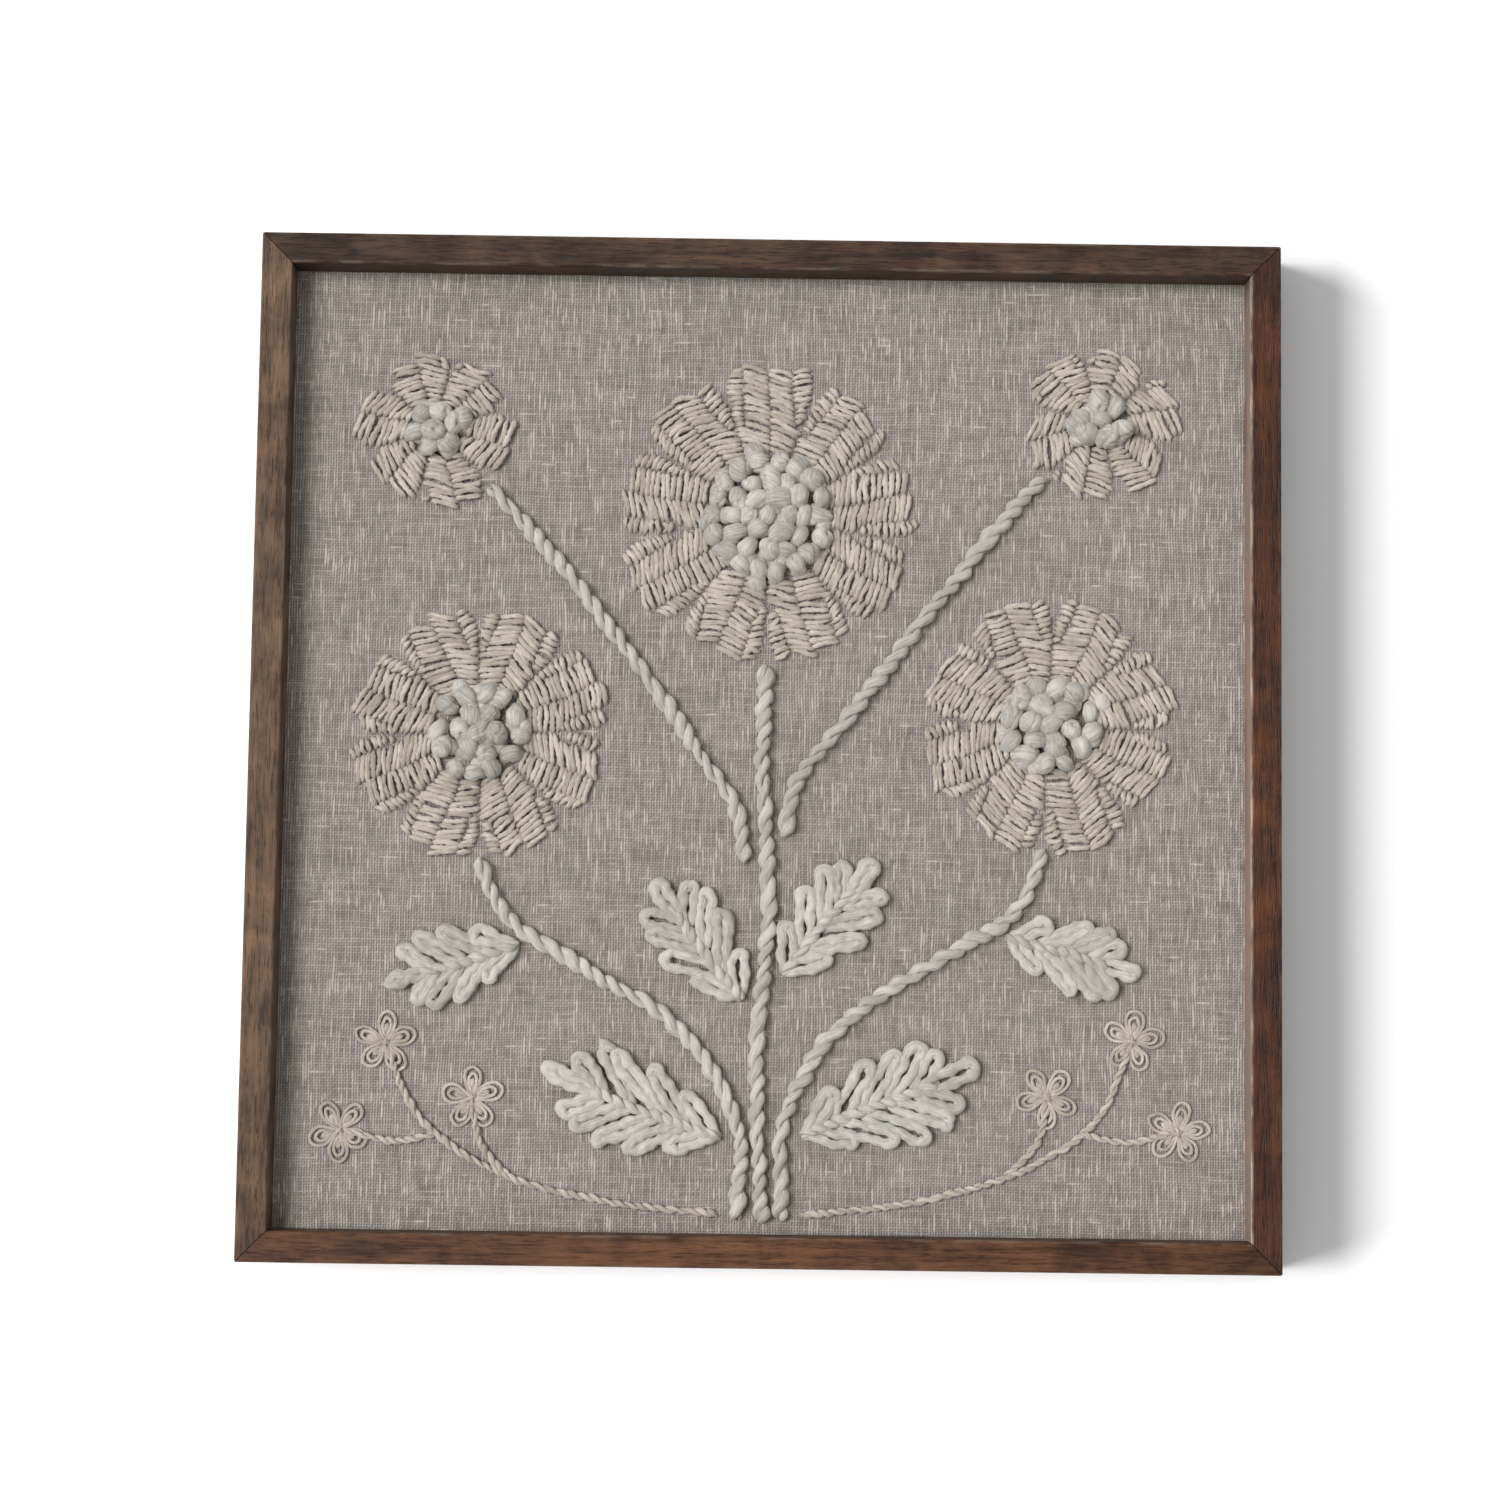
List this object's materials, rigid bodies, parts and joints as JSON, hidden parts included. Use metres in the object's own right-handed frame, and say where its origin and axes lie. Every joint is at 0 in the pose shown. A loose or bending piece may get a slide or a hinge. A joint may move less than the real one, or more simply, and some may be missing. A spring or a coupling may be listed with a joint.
{
  "type": "framed embroidery",
  "caption": "Square box frame in dark wood around stretched linen, with raised wool flowers, leaves and stems worked on it.",
  "frame": {"origin": "middle of the back of the frame, on the surface that it lies on", "axes": "+X to the picture's right, +Y to the picture's top, +Z out of the picture's face"},
  "size_m": [0.4, 0.4, 0.025],
  "materials": {
    "walnut": "satin",
    "board": "matte",
    "linen": "matte",
    "roving": "matte",
    "fine_wool": "matte"
  },
  "bodies": {
    "root": {"heart_bud_left": "roving", "heart_bud_right": "roving", "heart_left": "roving", "heart_right": "roving", "heart_top": "roving", "leaf_low_left": "roving", "leaf_low_right": "roving", "leaf_mid_left": "roving", "leaf_mid_right": "roving", "leaf_outer_left": "roving", "leaf_outer_right": "roving", "linen_ground": "linen", "mounting_board": "board", "petals_bud_left": "fine_wool", "petals_bud_right": "fine_wool", "petals_left": "fine_wool", "petals_right": "fine_wool", "petals_top": "fine_wool", "rail_bottom": "walnut", "rail_left": "walnut", "rail_right": "walnut", "rail_top": "walnut", "sprig_left": "fine_wool", "sprig_right": "fine_wool", "stem_bud_left": "roving", "stem_bud_right": "roving", "stem_centre": "roving", "stem_left": "roving", "stem_right": "roving"}
  },
  "joints": []
}
